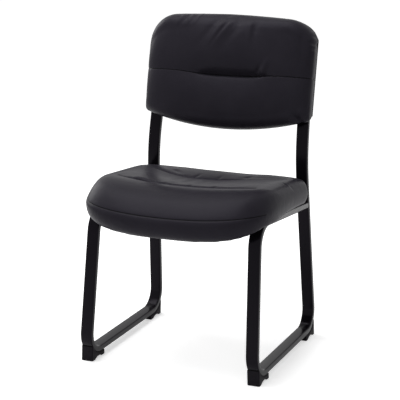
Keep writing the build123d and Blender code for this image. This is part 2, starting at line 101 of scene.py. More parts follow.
def new_piece(name, points, faces):
    """A mesh piece at the origin, doubles merged and faces outwards, shaded smooth."""
    mesh = bpy.data.meshes.new(name)
    mesh.from_pydata([tuple(p) for p in points], [], faces)
    shape = bmesh.new()
    shape.from_mesh(mesh)
    bmesh.ops.remove_doubles(shape, verts=shape.verts, dist=0.005 * mm)
    bmesh.ops.recalc_face_normals(shape, faces=shape.faces)
    shape.to_mesh(mesh)
    shape.free()
    mesh.shade_smooth()
    piece = bpy.data.objects.new(name, mesh)
    bpy.context.scene.collection.objects.link(piece)
    return piece


def dress(piece, material, slot, *stands_for):
    """Gives a new piece its material, its place on the chair and the CAD nodes it stands for."""
    piece.data.materials.clear()
    piece.data.materials.append(material)
    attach(piece, "root")
    if stands_for:
        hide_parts(*stands_for)


def bent_line(corners, bends, steps=18):
    """Points of a bent tube's centre line as complex numbers, y + z j in its own plane."""
    points = [corners[0]]
    for before, corner, after, bend in zip(corners, corners[1:], corners[2:], bends):
        back, on = (before - corner) / abs(before - corner), (after - corner) / abs(after - corner)
        half = abs(cmath.phase(on / back)) / 2
        middle = corner + (back + on) / abs(back + on) * bend / sin(half)
        start, end = corner + back * bend / tan(half), corner + on * bend / tan(half)
        turn = cmath.phase((end - middle) / (start - middle))
        turns = [cmath.exp(1j * turn * k / steps) for k in range(steps + 1)]
        points += [middle + (start - middle) * t for t in turns]
    return points + [corners[-1]]


def tube_ring(width, depth, corner, steps=5):
    """Section of a flat tube with round corners: across and along, as complex numbers."""
    ring = []
    for quarter, (x, y) in enumerate(((1, 1), (-1, 1), (-1, -1), (1, -1))):
        centre = complex(x * (width / 2 - corner), y * (depth / 2 - corner))
        turns = [cmath.exp(0.5j * pi * (quarter + k / steps)) for k in range(steps + 1)]
        ring += [centre + corner * t for t in turns]
    return ring


def grid_faces(rows, columns):
    """Quads between the rows of a grid whose rows are closed rings, with both ends capped."""
    quads = []
    for r in range(rows - 1):
        for c in range(columns):
            here, beside = r * columns + c, r * columns + (c + 1) % columns
            quads.append((here, beside, beside + columns, here + columns))
    return quads + [tuple(range(columns)), tuple(range((rows - 1) * columns, rows * columns))]


def in_side_plane(flat, across, side):
    """A point of a side frame in the chair's frame; across is outwards from the tube's middle."""
    x = side_middle + across * cos(side_lean) - flat.imag * sin(side_lean)
    return Vector((side * x, flat.real, flat.imag * cos(side_lean) + across * sin(side_lean)))


powder_coat, tree = new_material("semi_gloss_black_powder_coat")
# Powder coat flows out to a faint orange peel a millimetre or two wide, with a clean gloss that
# leans to violet
place = add_node(tree, "ShaderNodeTexCoord", {}).outputs["Object"]
peel = add_node(tree, "ShaderNodeTexNoise", {
    "Vector": place, "Scale": 1 / (1.6 * mm), "Detail": 2.0,
})
cloud = add_node(tree, "ShaderNodeTexNoise", {
    "Vector": place, "Scale": 1 / (60 * mm), "Detail": 3.0,
})
gloss = add_node(tree, "ShaderNodeMapRange", {
    "Value": cloud.outputs["Fac"], "To Min": 0.15, "To Max": 0.24,
})
tone = add_node(tree, "ShaderNodeMix", {
    "Factor": cloud.outputs["Fac"], "A": linear("#0a080c"), "B": linear("#100e13"),
}, data_type="RGBA")
bump = add_node(tree, "ShaderNodeBump", {
    "Height": peel.outputs["Fac"], "Distance": 0.02 * mm, "Strength": 0.5,
})
skin = add_node(tree, "ShaderNodeBsdfPrincipled", {
    "Base Color": tone.outputs["Result"], "Roughness": gloss.outputs["Result"], "IOR": 1.17,
    "Specular Tint": (0.92, 0.86, 1.0, 1.0), "Normal": bump.outputs["Normal"],
})
add_node(tree, "ShaderNodeOutputMaterial", {"Surface": skin.outputs["BSDF"]})

down_rail = (rail_joint - front_top) / abs(rail_joint - front_top)
rail_end = rail_joint - down_rail * (tube_depth / 2 - rail_into_leg)
tube_line = bent_line(
    [upright_top, upright_kink, rear_foot, front_foot, front_top, rail_end],
    [kink_bend, floor_bend, floor_bend, seat_bend],
)
ring = tube_ring(tube_width, tube_depth, tube_corner)
for side, name in ((-1, "left_side_tube"), (1, "right_side_tube")):
    points = []
    for k, flat in enumerate(tube_line):
        run = tube_line[min(k + 1, len(tube_line) - 1)] - tube_line[max(k - 1, 0)]
        points += [in_side_plane(flat + run / abs(run) * 1j * r.imag, r.real, side) for r in ring]
    side_tube = new_piece(name, points, grid_faces(len(tube_line), len(ring)))
    dress(side_tube, powder_coat, "frame_paint", name.replace("tube", "frame"))


# Cross tubes
# Two lengths of the same tube, laid flat under the seat board, welded between the seat rails and
# painted with the frame.
def coat(name, material):
    """Gives a CAD node that is shown as it is its material."""
    nodes[name].data.materials.clear()
    nodes[name].data.materials.append(material)


for name in ("front_cross_tube", "rear_cross_tube"):
    coat(name, powder_coat)

# Weld beads
# Fillet welds, run above and below the end of each seat rail and round three sides of each cross
# tube's ends, with the ripples that the molten pool leaves; painted with the frame.
weld_radius, weld_pitch, weld_half, weld_start = 1.9 * mm, 1.5 * mm, 0.42 * tube_width, 3 * mm
cross_middles = (-73.5 * mm, 108.5 * mm)
cross_drop = 0.9 * mm


def bake_modifiers(piece):
    """Makes a piece's modifiers part of its mesh."""
    graph = bpy.context.evaluated_depsgraph_get()
    baked = bpy.data.meshes.new_from_object(piece.evaluated_get(graph))
    piece.modifiers.clear()
    old = piece.data
    piece.data = baked
    bpy.data.meshes.remove(old)
    baked.name = piece.name
    baked.shade_smooth()


def node_tree(name, inputs):
    """An empty tree of geometry nodes with more inputs than its geometry, and its input node."""
    tree = bpy.data.node_groups.new(name, "GeometryNodeTree")
    for label, kind in [("Geometry", "Geometry")] + inputs:
        tree.interface.new_socket(label, in_out="INPUT", socket_type="NodeSocket" + kind)
    tree.interface.new_socket("Geometry", in_out="OUTPUT", socket_type="NodeSocketGeometry")
    return tree, add_node(tree, "NodeGroupInput", {})


def repeated(name, paths, tree, sizes):
    """A plain mesh of what a tree of geometry nodes sets along open or closed paths of points."""
    points = [tuple(p) for path in paths for p in path]
    edges, first = [], 0
    for path in paths:
        edges += [(first + k, first + k + 1) for k in range(len(path) - 1)]
        first += len(path)
    mesh = bpy.data.meshes.new(name)
    mesh.from_pydata(points, edges, [])
    piece = bpy.data.objects.new(name, mesh)
    bpy.context.scene.collection.objects.link(piece)
    along = piece.modifiers.new("along", "NODES")
    along.node_group = tree
    for item in tree.interface.items_tree:
        if item.in_out == "INPUT" and item.name in sizes:
            along[item.identifier] = sizes[item.name]
    bake_modifiers(piece)
    return piece


weld_tree, given = node_tree(
    "weld_ripples",
    [("Pitch", "Float"), ("Radius", "Float"), ("Seed", "Int"), ("Paint", "Material")],
)
path = add_node(weld_tree, "GeometryNodeMeshToCurve", {"Mesh": given.outputs["Geometry"]})
spots = add_node(weld_tree, "GeometryNodeCurveToPoints", {
    "Curve": path.outputs["Curve"], "Length": given.outputs["Pitch"],
}, mode="LENGTH")
drop = add_node(weld_tree, "GeometryNodeMeshUVSphere", {
    "Segments": 8, "Rings": 5, "Radius": given.outputs["Radius"],
})
turn = add_node(weld_tree, "FunctionNodeAlignRotationToVector", {
    "Vector": spots.outputs["Tangent"],
}, axis="Z")
size = add_node(weld_tree, "FunctionNodeRandomValue", {
    2: 0.85, 3: 1.1, "Seed": given.outputs["Seed"],
}, data_type="FLOAT")
drops = add_node(weld_tree, "GeometryNodeInstanceOnPoints", {
    "Points": spots.outputs["Points"], "Instance": drop.outputs["Mesh"],
    "Rotation": turn.outputs["Rotation"], "Scale": size.outputs[1],
})
real = add_node(weld_tree, "GeometryNodeRealizeInstances", {"Geometry": drops.outputs["Instances"]})
paint = add_node(weld_tree, "GeometryNodeSetMaterial", {
    "Geometry": real.outputs["Geometry"], "Material": given.outputs["Paint"],
})
add_node(weld_tree, "NodeGroupOutput", {"Geometry": paint.outputs["Geometry"]})

down_leg = (rear_foot - upright_kink) / abs(rear_foot - upright_kink)
slant = abs((down_leg * down_rail.conjugate()).imag)
rail_meets_leg = rail_joint - down_rail * tube_depth / 2 / slant
rail_top = front_top - down_rail * front_top.real / down_rail.real + down_rail * 1j * tube_depth / 2
welds = []
for side in (-1, 1):
    for edge in (-1, 1):
        at = rail_meets_leg + down_leg * edge * tube_depth / 2 / slant
        welds.append([in_side_plane(at, across, side) for across in (-weld_half, weld_half)])
    for middle in cross_middles:
        welds.append([])
        for y, z in ((-1, -weld_start), (-1, -tube_depth), (1, -tube_depth), (1, -weld_start)):
            flat = down_rail * (middle + y * tube_width / 2) + down_rail * 1j * (z - cross_drop)
            welds[-1].append(in_side_plane(rail_top + flat, -tube_width / 2, side))
weld_beads = repeated(
    "weld_beads", welds, weld_tree,
    {"Pitch": weld_pitch, "Radius": weld_radius, "Seed": 4, "Paint": powder_coat},
)
dress(weld_beads, powder_coat, "frame_paint")

# Upright plugs
# Moulded polypropylene plugs pressed into the top ends of the uprights, where the back closes them
# in.
# Heights above the floor of the band of painted shade at the glides' upper rims
shade_rim_low, shade_rim_high = 38.4 * mm, 39.4 * mm
moulded_plastic, tree = new_material("spark_grained_black_polypropylene")
# The mould is spark-eroded, which leaves a fine matt grain of about half a millimetre; the upper
# rims of the glides, of the same plastic, get painted shade: a nearly black band where they meet
# the tube
place = add_node(tree, "ShaderNodeTexCoord", {}).outputs["Object"]
grain = add_node(tree, "ShaderNodeTexNoise", {
    "Vector": place, "Scale": 1 / (0.6 * mm), "Detail": 3.0,
})
scuff = add_node(tree, "ShaderNodeTexNoise", {
    "Vector": place, "Scale": 1 / (9 * mm), "Detail": 5.0,
})
height = add_node(tree, "ShaderNodeSeparateXYZ", {"Vector": place})
rim_shade = add_node(tree, "ShaderNodeMapRange", {
    "Value": height.outputs["Z"], "From Min": shade_rim_low, "From Max": shade_rim_high, "To Max": 0.9,
})
matt = add_node(tree, "ShaderNodeMapRange", {
    "Value": scuff.outputs["Fac"], "To Min": 0.5, "To Max": 0.68,
})
tone = add_node(tree, "ShaderNodeMix", {
    "Factor": scuff.outputs["Fac"], "A": linear("#161417"), "B": linear("#232126"),
}, data_type="RGBA")
# Painted shade: between those heights the plastic turns nearly black
tone = add_node(tree, "ShaderNodeMix", {
    "Factor": rim_shade.outputs["Result"], "A": tone.outputs["Result"], "B": linear("#010101"),
}, data_type="RGBA")
bump = add_node(tree, "ShaderNodeBump", {
    "Height": grain.outputs["Fac"], "Distance": 0.04 * mm, "Strength": 0.6,
})
skin = add_node(tree, "ShaderNodeBsdfPrincipled", {
    "Base Color": tone.outputs["Result"], "Roughness": matt.outputs["Result"], "IOR": 1.12,
    "Normal": bump.outputs["Normal"],
})
add_node(tree, "ShaderNodeOutputMaterial", {"Surface": skin.outputs["BSDF"]})
for name in ("left_upright_plug", "right_upright_plug"):
    coat(name, moulded_plastic)

# Glides
# Shoes moulded in the same plastic, arched between toe and heel, that snap on under each bend with
# a peg; the mould's edges are a little round.
mould_radius, mould_edge = 0.9 * mm, radians(40)
for name in ("front_left_glide", "front_right_glide", "rear_left_glide", "rear_right_glide"):
    shape = bmesh.new()
    shape.from_mesh(nodes[name].data)
    bmesh.ops.remove_doubles(shape, verts=shape.verts, dist=0.005 * mm)
    bmesh.ops.dissolve_limit(shape, angle_limit=radians(1), verts=shape.verts, edges=shape.edges)
    mesh = bpy.data.meshes.new(name + "_shoe")
    shape.to_mesh(mesh)
    shape.free()
    shoe = bpy.data.objects.new(name + "_shoe", mesh)
    bpy.context.scene.collection.objects.link(shoe)
    mesh.shade_smooth()
    soften = shoe.modifiers.new("mould_radius", "BEVEL")
    soften.width = mould_radius
    soften.segments = 2
    soften.limit_method = "ANGLE"
    soften.angle_limit = mould_edge
    soften.harden_normals = True
    bake_modifiers(shoe)
    dress(shoe, moulded_plastic, "black_plastic", name)

# Seat board
# Plywood with a pale, broad grain, screwed down on the cross tubes and closed in by the cover; the
# back's board is of the same sheet.
plywood, tree = new_material("raw_poplar_plywood")
# Rotary-cut veneer shows bands of grain a few centimetres wide
place = add_node(tree, "ShaderNodeTexCoord", {}).outputs["Object"]
bands = add_node(tree, "ShaderNodeTexWave", {
    "Vector": place, "Scale": 1 / (120 * mm), "Distortion": 6.0, "Detail": 3.0,
})
tone = add_node(tree, "ShaderNodeMix", {
    "Factor": bands.outputs["Fac"], "A": linear("#c3a478"), "B": linear("#a9875a"),
}, data_type="RGBA")
skin = add_node(tree, "ShaderNodeBsdfPrincipled", {
    "Base Color": tone.outputs["Result"], "Roughness": 0.75,
})
add_node(tree, "ShaderNodeOutputMaterial", {"Surface": skin.outputs["BSDF"]})
for name in ("seat_board", "back_board"):
    coat(name, plywood)

# Seat screws
# Four zinc-plated hexagon head screws, driven up through the cross tubes into the board, with their
# heads below.
zinc_plate, tree = new_material("bright_zinc_plated_steel")
# Bright zinc is bluish white with soft streaks from the plating barrel
place = add_node(tree, "ShaderNodeTexCoord", {}).outputs["Object"]
streak = add_node(tree, "ShaderNodeTexNoise", {
    "Vector": place, "Scale": 1 / (2.5 * mm), "Detail": 4.0,
})
gloss = add_node(tree, "ShaderNodeMapRange", {
    "Value": streak.outputs["Fac"], "To Min": 0.28, "To Max": 0.5,
})
tone = add_node(tree, "ShaderNodeMix", {
    "Factor": streak.outputs["Fac"], "A": linear("#aeb2b8"), "B": linear("#c9ccd0"),
}, data_type="RGBA")
skin = add_node(tree, "ShaderNodeBsdfPrincipled", {
    "Base Color": tone.outputs["Result"], "Roughness": gloss.outputs["Result"], "Metallic": 1.0,
})
add_node(tree, "ShaderNodeOutputMaterial", {"Surface": skin.outputs["BSDF"]})
coat("seat_screws", zinc_plate)

# Seat cushion
# Polyurethane foam on the board under a faux leather cover: a top with two sewn channels that are
# pulled down in the middle, and a front border joined to it by a seam, all stapled under the board.
seat_base_z, seat_rake = 392.98 * mm, radians(5)
seat_half, seat_rear, seat_front = 250.4 * mm, 179.9 * mm, -265.1 * mm
seat_height, seat_dish, seat_side_level = 73.5 * mm, 7 * mm, 20 * mm
nose_depth, nose_power, rear_round, rear_power = 205 * mm, 3.5, 60 * mm, 8
nose_drop, nose_level, border_bulge = 55.5 * mm, 10 * mm, 20 * mm
border_seam, seam_rise, foam_roll, under_in = 1.5 * mm, 19 * mm, 75 * mm, 20 * mm
side_power, border_power, hem_power = 20, 3, 120
seat_clear, hem_round = 0.3 * mm, 9 * mm
first_depth, second_depth, channel_span, crease = 4 * mm, 5.5 * mm, 145 * mm, 2 * mm
first_channel, second_channel, second_curve = 0.34, 0.649, 0.165
second_middle, second_span = -25 * mm, 115 * mm
tail_dip, tail_span, shoulder_drop = 6.5 * mm, 165 * mm, 3 * mm
nose_crown, middle_crown, middle_pull, tail_crown, tail_pull = 0.135, 0.005, 0.012, 0.01, 0.06
over_rail_from, over_rail_run = 0.945, 0.014
side_hang, rear_lift, rear_tuck, side_arch = 9 * mm, 7 * mm, 20 * mm, 4 * mm
first_crease, second_crease, border_crease = 7 * mm, 6 * mm, 1.0 * mm
crease_behind, crease_ahead, border_width = 3 * mm, 4.5 * mm, 3.5 * mm
stitch_hold, stitch_snap, rest_level, fold_level = 4 * mm, 1.3 * mm, 2.5 * mm, 30 * mm
nose_clear, nose_reach, seam_end, seam_fade = 70 * mm, 40 * mm, 0.97, 0.15
seat_voxel, seat_relax, most_swell = 5.15 * mm, 4, 7 * mm
far_off = 100 * mm


def seat_lines(s):
    """Front, rear, two channels and front seam of the cushion at a share of half its width."""
    border = np.sqrt(1 - s**border_power)
    front = seat_front + nose_depth * (1 - (1 - s**nose_power) ** (1 / nose_power))
    rear = seat_rear - rear_round * (1 - np.sqrt(1 - s**rear_power))
    wave = (1 - np.cos(pi * s)) / 2
    first = front + first_channel * (rear - front)
    second = front + (second_channel + second_curve * wave) * (rear - front)
    seam = (front + (3 + 5 * border) * mm, border_seam + seam_rise * s * s + (1 - border) * mm)
    return front, rear, first, second, seam


def bowed(start, end, rise, pieces=8):
    """Points of a shallow bow, rise high, to the left of the way from start to end."""
    along = (end[0] - start[0], end[1] - start[1])
    length = max(sqrt(along[0] ** 2 + along[1] ** 2), 1e-9)
    points = []
    for k in range(1, pieces + 1):
        u = k / pieces
        lift = 4 * rise * u * (1 - u) / length
        a, b = start[0] + u * along[0] - lift * along[1], start[1] + u * along[1] + lift * along[0]
        points.append((a, b))
    return points


def seat_side_view(share):
    """Side view of the cushion, to the rear and up from the rails; share is 1 at its right side."""
    s = abs(share)
    top_round, border = sqrt(1 - s**side_power), sqrt(1 - s**border_power)
    front, rear, first, second, seam = seat_lines(s)
    crown = seat_height - seat_dish * (1 - s * s) ** 2
    pulled = exp(-((s * seat_half / channel_span) ** 3))
    pulled_rear = exp(-((abs(share * seat_half - second_middle) / second_span) ** 3))
    low_first, low_second, shoulder = [
        seat_side_level + (crown - depth - seat_side_level) * top_round
        for depth in (first_depth * pulled, second_depth * pulled_rear, crease)
    ]
    over_rail = min(1, max(0, (s - over_rail_from) / over_rail_run))
    base = seat_clear + hem_round * (1 - sqrt(1 - s**hem_power))
    bulge = seam[1] - (1 - border) * mm - border_bulge * (1 - s**border_power) - border * mm
    low = nose_level - (nose_level + nose_drop) * border
    roll = foam_roll * border
    p_rear = (rear - 5 * mm - rear_tuck * over_rail, base + rear_lift * over_rail)
    p_under = (front + under_in + 0.75 * roll, base - side_hang * over_rail)
    p_low = (front + 6 * mm + 0.35 * roll, low)
    p_front = (front, bulge)
    p_first, p_second = (first, low_first), (second, low_second)
    dip = tail_dip * exp(-((s * seat_half / tail_span) ** 3))
    p_shoulder = (rear - (14 * top_round + 1) * mm, shoulder - (shoulder_drop + dip) * top_round)
    p_back = (rear, seat_side_level + 8 * mm * top_round)
    nose_rise = (first - seam[0]) * nose_crown * top_round + 0.5 * mm
    middle_rise = (second - first) * (middle_crown + middle_pull * pulled) * top_round
    tail_rise = (p_shoulder[0] - second) * (tail_crown + tail_pull * pulled_rear) * top_round
    outline = bowed(p_back, p_rear, 3 * mm * top_round)
    outline += bowed(p_rear, p_under, -side_arch * over_rail, 30)
    outline += bowed(p_under, p_low, (0.5 + 6 * border) * mm)
    outline += bowed(p_low, p_front, (0.8 + 7 * border) * mm)
    outline += bowed(p_front, seam, (0.3 + 2 * border) * mm)
    outline += bowed(seam, p_first, nose_rise, 24)
    outline += bowed(p_first, p_second, middle_rise, 16)
    outline += bowed(p_second, p_shoulder, tail_rise, 16)
    return outline + bowed(p_shoulder, p_back, 3 * mm * top_round)


def on_seat(point):
    """A point of the seat, across, to the rear and up from the rails, in the chair's frame."""
    x, y, z = point
    c, s = cos(seat_rake), sin(seat_rake)
    return (x, y * c + z * s, seat_base_z - y * s + z * c)


def seat_local(points):
    """The chair's frame as across, to the rear and up from the seat rails."""
    y, z = points[:, 1], points[:, 2] - seat_base_z
    c, s = cos(seat_rake), sin(seat_rake)
    return np.stack([points[:, 0], y * c - z * s, y * s + z * c], 1)


def lofted(name, side_view, half, place_point, columns=120):
    """A closed form through side views, closer together towards both sides."""
    shares = [sin(pi / 2 * (2 * k / columns - 1)) * 0.9998 for k in range(columns + 1)]
    points, ring_length = [], 0
    for share in shares:
        outline = side_view(share)
        ring_length = len(outline)
        points += [place_point((share * half, a, b)) for a, b in outline]
    return new_piece(name, points, grid_faces(len(shares), ring_length))


def vertex_array(mesh):
    """The places of a mesh's vertices as an array."""
    flat = np.zeros(len(mesh.vertices) * 3)
    mesh.vertices.foreach_get("co", flat)
    return flat.reshape(-1, 3)


def set_vertices(mesh, points):
    """Moves a mesh's vertices."""
    mesh.vertices.foreach_set("co", points.ravel())
    mesh.update()


def vertex_normals(mesh):
    """The directions of a mesh's vertices as an array."""
    flat = np.zeros(len(mesh.vertices) * 3)
    mesh.vertex_normals.foreach_get("vector", flat)
    return flat.reshape(-1, 3)


def evened(piece, voxel, rounds):
    """Remeshes a form to even quads and relaxes it."""
    remesh = piece.modifiers.new("even", "REMESH")
    remesh.mode = "VOXEL"
    remesh.voxel_size = voxel
    relax = piece.modifiers.new("relax", "SMOOTH")
    relax.factor = 0.5
    relax.iterations = rounds
    bake_modifiers(piece)


def plumped(piece, held, most):
    """Lets a cover swell over its foam by so much at most, while sewn and stapled lines hold it."""
    start = vertex_array(piece.data)
    group = piece.vertex_groups.new(name="held")
    group.add(np.flatnonzero(held).tolist(), 1.0, "REPLACE")
    cloth = piece.modifiers.new("swell", "CLOTH")
    cloth.settings.quality = 6
    cloth.settings.mass = 0.4
    cloth.settings.bending_stiffness = 8.0
    cloth.settings.air_damping = 3.0
    cloth.settings.use_pressure = True
    cloth.settings.uniform_pressure_force = 4.0
    cloth.settings.vertex_group_mass = group.name
    cloth.settings.effector_weights.gravity = 0.0
    for step in range(1, 21):
        bpy.context.scene.frame_set(step)
    bake_modifiers(piece)
    bpy.context.scene.frame_set(1)
    moved = vertex_array(piece.data) - start
    length = np.linalg.norm(moved, axis=1, keepdims=True)
    set_vertices(piece.data, start + moved * np.minimum(1, most / np.maximum(length, 1e-9)))
    piece.vertex_groups.clear()


def grooved(piece, seams, depths, widths):
    """Presses the sewn lines into a cover and keeps the distances to them for its material."""
    press = (depths * np.exp(-((np.abs(seams) / widths) ** 1.2))).max(1)[:, None]
    set_vertices(piece.data, vertex_array(piece.data) - vertex_normals(piece.data) * press)
    kept = piece.data.attributes.new("sewn", "FLOAT_VECTOR", "POINT")
    kept.data.foreach_set("vector", seams.astype(np.float32).ravel())


def folded(piece, flat, shown, folds):
    """Lays soft folds in a cover, each from place to place with a width and a height in mm."""
    rise = np.zeros(len(flat))
    for x0, y0, x1, y1, width, height in folds:
        start, run = np.array((x0, y0)) * mm, np.array((x1 - x0, y1 - y0)) * mm
        along = (flat - start) @ run / (run @ run)
        aside = np.linalg.norm(flat - start - np.clip(along, 0, 1)[:, None] * run, axis=1)
        fade = np.clip(along / 0.25, 0, 1) * np.clip((1 - along) / 0.6, 0, 1)
        rise += height * mm * fade * np.exp(-((aside / (width * mm)) ** 2))
    rise = (rise * shown)[:, None]
    set_vertices(piece.data, vertex_array(piece.data) + vertex_normals(piece.data) * rise)


def seat_seams(local):
    """Signed distances from points of the seat cushion to its two channels and its front seam."""
    s = np.clip(np.abs(local[:, 0]) / seat_half, 0, 0.999)
    front, rear, first, second, seam = seat_lines(s)
    top = (local[:, 2] > seat_side_level) & (local[:, 1] > front + nose_clear)
    top &= np.abs(local[:, 0]) < 1.3 * channel_span
    nose = (local[:, 1] < front + nose_reach) & (s < seam_end)
    return np.stack([
        np.where(top, local[:, 1] - first, far_off),
        np.where(top, local[:, 1] - second, far_off),
        np.where(nose, local[:, 2] - seam[1], far_off),
    ], 1)


def subdivided(piece):
    """Adds one round of subdivision to the mesh itself."""
    finer = piece.modifiers.new("finer", "SUBSURF")
    finer.levels = finer.render_levels = 1
    bake_modifiers(piece)


faux_leather, tree = new_material("satin_black_embossed_polyurethane")
# Embossed pebbles about 1.5 mm across, coarser than real ones so that they show, under a satin top
# coat that turns dull at a glancing angle; the line of a seam is painted nearly black, as painted
# shade in its groove
place = add_node(tree, "ShaderNodeTexCoord", {}).outputs["Object"]
sewn = add_node(tree, "ShaderNodeAttribute", {}, attribute_name="sewn")
sewn = add_node(tree, "ShaderNodeVectorMath", {0: sewn.outputs["Vector"]}, operation="ABSOLUTE")
sewn = add_node(tree, "ShaderNodeSeparateXYZ", {"Vector": sewn.outputs["Vector"]})
nearest = add_node(tree, "ShaderNodeMath", {
    0: sewn.outputs["X"], 1: sewn.outputs["Y"],
}, operation="MINIMUM")
nearest = add_node(tree, "ShaderNodeMath", {
    0: nearest.outputs[0], 1: sewn.outputs["Z"],
}, operation="MINIMUM")
seam = add_node(tree, "ShaderNodeMapRange", {
    "Value": nearest.outputs[0], "From Min": 0.2 * mm, "From Max": 2.0 * mm,
}, interpolation_type="SMOOTHSTEP")
warp = add_node(tree, "ShaderNodeTexNoise", {"Vector": place, "Scale": 1 / (6 * mm), "Detail": 2.0})
shift = add_node(tree, "ShaderNodeMix", {
    "Factor": 0.0012, "A": place, "B": warp.outputs["Color"],
}, data_type="VECTOR")
pebble = add_node(tree, "ShaderNodeTexVoronoi", {
    "Vector": shift.outputs[1], "Scale": 1 / (1.5 * mm),
}, feature="SMOOTH_F1")
cloud = add_node(tree, "ShaderNodeTexNoise", {
    "Vector": place, "Scale": 1 / (70 * mm), "Detail": 4.0,
})
satin = add_node(tree, "ShaderNodeMapRange", {
    "Value": cloud.outputs["Fac"], "To Min": 0.3, "To Max": 0.4,
})
glance = add_node(tree, "ShaderNodeLayerWeight", {"Blend": 0.5})
glance = add_node(tree, "ShaderNodeMapRange", {
    "Value": glance.outputs["Facing"], "From Min": 0.81, "To Max": 0.5,
})
satin = add_node(tree, "ShaderNodeMath", {0: satin.outputs["Result"], 1: glance.outputs["Result"]})
tone = add_node(tree, "ShaderNodeMix", {
    "Factor": cloud.outputs["Fac"], "A": linear("#1f1d23"), "B": linear("#28262c"),
}, data_type="RGBA")
# Painted shade: the cover turns nearly black along each sewn line, for the shade in its groove
tone = add_node(tree, "ShaderNodeMix", {
    "Factor": seam.outputs["Result"], "A": linear("#040404"), "B": tone.outputs["Result"],
}, data_type="RGBA")
ripple = add_node(tree, "ShaderNodeTexNoise", {
    "Vector": place, "Scale": 1 / (22 * mm), "Detail": 2.0,
})
bump = add_node(tree, "ShaderNodeBump", {
    "Height": ripple.outputs["Fac"], "Distance": 0.9 * mm, "Strength": 0.6,
})
bump = add_node(tree, "ShaderNodeBump", {
    "Height": seam.outputs["Result"], "Distance": 0.6 * mm, "Strength": 1.0,
    "Normal": bump.outputs["Normal"],
})
bump = add_node(tree, "ShaderNodeBump", {
    "Height": pebble.outputs["Distance"], "Distance": 0.12 * mm, "Strength": 0.5,
    "Normal": bump.outputs["Normal"],
}, invert=True)
skin = add_node(tree, "ShaderNodeBsdfPrincipled", {
    "Specular Tint": (0.88, 0.84, 1.0, 1.0),
    "Base Color": tone.outputs["Result"], "Roughness": satin.outputs[0], "IOR": 1.13,
    "Normal": bump.outputs["Normal"],
})
add_node(tree, "ShaderNodeOutputMaterial", {"Surface": skin.outputs["BSDF"]})

seat_cushion = lofted("seat_cushion", seat_side_view, seat_half, on_seat)
evened(seat_cushion, seat_voxel, seat_relax)
local = seat_local(vertex_array(seat_cushion.data))
resting = local[:, 2] < rest_level
sewn_to = (np.abs(seat_seams(local)) < stitch_hold).any(1)
held = sewn_to | (resting & (vertex_normals(seat_cushion.data)[:, 2] < -0.8))
plumped(seat_cushion, held, most_swell)
subdivided(seat_cushion)
local = seat_local(vertex_array(seat_cushion.data))
for off_line in seat_seams(local).T[:2]:
    local[:, 1] -= np.where(np.abs(off_line) < stitch_snap, off_line, 0)
set_vertices(seat_cushion.data, np.stack(on_seat(local.T), 1))
pulled = np.exp(-((np.abs(local[:, 0]) / channel_span) ** 3))
pulled_rear = np.exp(-((np.abs(local[:, 0] - second_middle) / second_span) ** 3))
corner_fade = np.clip((seam_end - np.abs(local[:, 0]) / seat_half) / seam_fade, 0, 1)
seams = seat_seams(local)
depths = np.stack(
    [first_crease * pulled, second_crease * pulled_rear, border_crease * corner_fade], 1,
)
widths = np.where(seams >= 0, crease_behind, crease_ahead)
widths[:, 2] = border_width
grooved(seat_cushion, seams, depths, widths)
left_corner_folds = [(-160, -104, -86, -116, 5, -5.5), (-150, -92, -84, -102, 7, 3.0)]
channel_tucks = [
    (-60, -100, -38, -124, 6, -1.4), (10, -96, 24, -122, 6, -1.4), (84, -96, 74, -124, 6, -1.4),
    (-112, 84, -70, 46, 6, -2.0), (-30, 30, -22, 62, 6, -1.2), (36, 28, 34, 64, 6, -1.2),
    (96, 56, 122, 90, 7, -1.6),
]
seat_folds = left_corner_folds + channel_tucks
folded(seat_cushion, local[:, :2], local[:, 2] > fold_level, seat_folds)
dress(seat_cushion, faux_leather, "black_cover", "seat_cover", "seat_foam")

# Seat dust cover
# Thin black non-woven cloth, cut to the seat's plan, pulled flat over the hem of the cover and
# stapled to the board, with holes for the screws.
dust_cloth, tree = new_material("black_spunbond_cloth")
# Spunbond is a felt of fine fibres pressed together, with a mottle of a few millimetres
place = add_node(tree, "ShaderNodeTexCoord", {}).outputs["Object"]
fibre = add_node(tree, "ShaderNodeTexNoise", {
    "Vector": place, "Scale": 1 / (1.2 * mm), "Detail": 5.0, "Distortion": 1.5,
})
tone = add_node(tree, "ShaderNodeMix", {
    "Factor": fibre.outputs["Fac"], "A": linear("#0c0c0c"), "B": linear("#212122"),
}, data_type="RGBA")
bump = add_node(tree, "ShaderNodeBump", {
    "Height": fibre.outputs["Fac"], "Distance": 0.1 * mm, "Strength": 0.6,
})
skin = add_node(tree, "ShaderNodeBsdfPrincipled", {
    "Base Color": tone.outputs["Result"], "Roughness": 0.95, "Normal": bump.outputs["Normal"],
})
add_node(tree, "ShaderNodeOutputMaterial", {"Surface": skin.outputs["BSDF"]})
dust_half, dust_rear, dust_corner = 200.4 * mm, 129.9 * mm, 30 * mm
dust_nose_middle, dust_nose = -60.1 * mm, 80 * mm
dust_top, dust_thickness, dust_sag, sag_run = 0.12 * mm, 0.5 * mm, 2.2 * mm, 25 * mm
screw_across, screw_hole, hole_sides, hole_reach = 140 * mm, 4 * mm, 16, 8 * mm


def dust_width(y):
    """Half the width of the dust cover at a distance to the rear."""
    if y < dust_nose_middle:
        return dust_half * sqrt(max(0, 1 - ((y - dust_nose_middle) / dust_nose) ** 2))
    into = max(0, y - dust_rear + dust_corner)
    return dust_half - dust_corner + sqrt(max(0, dust_corner**2 - into**2))


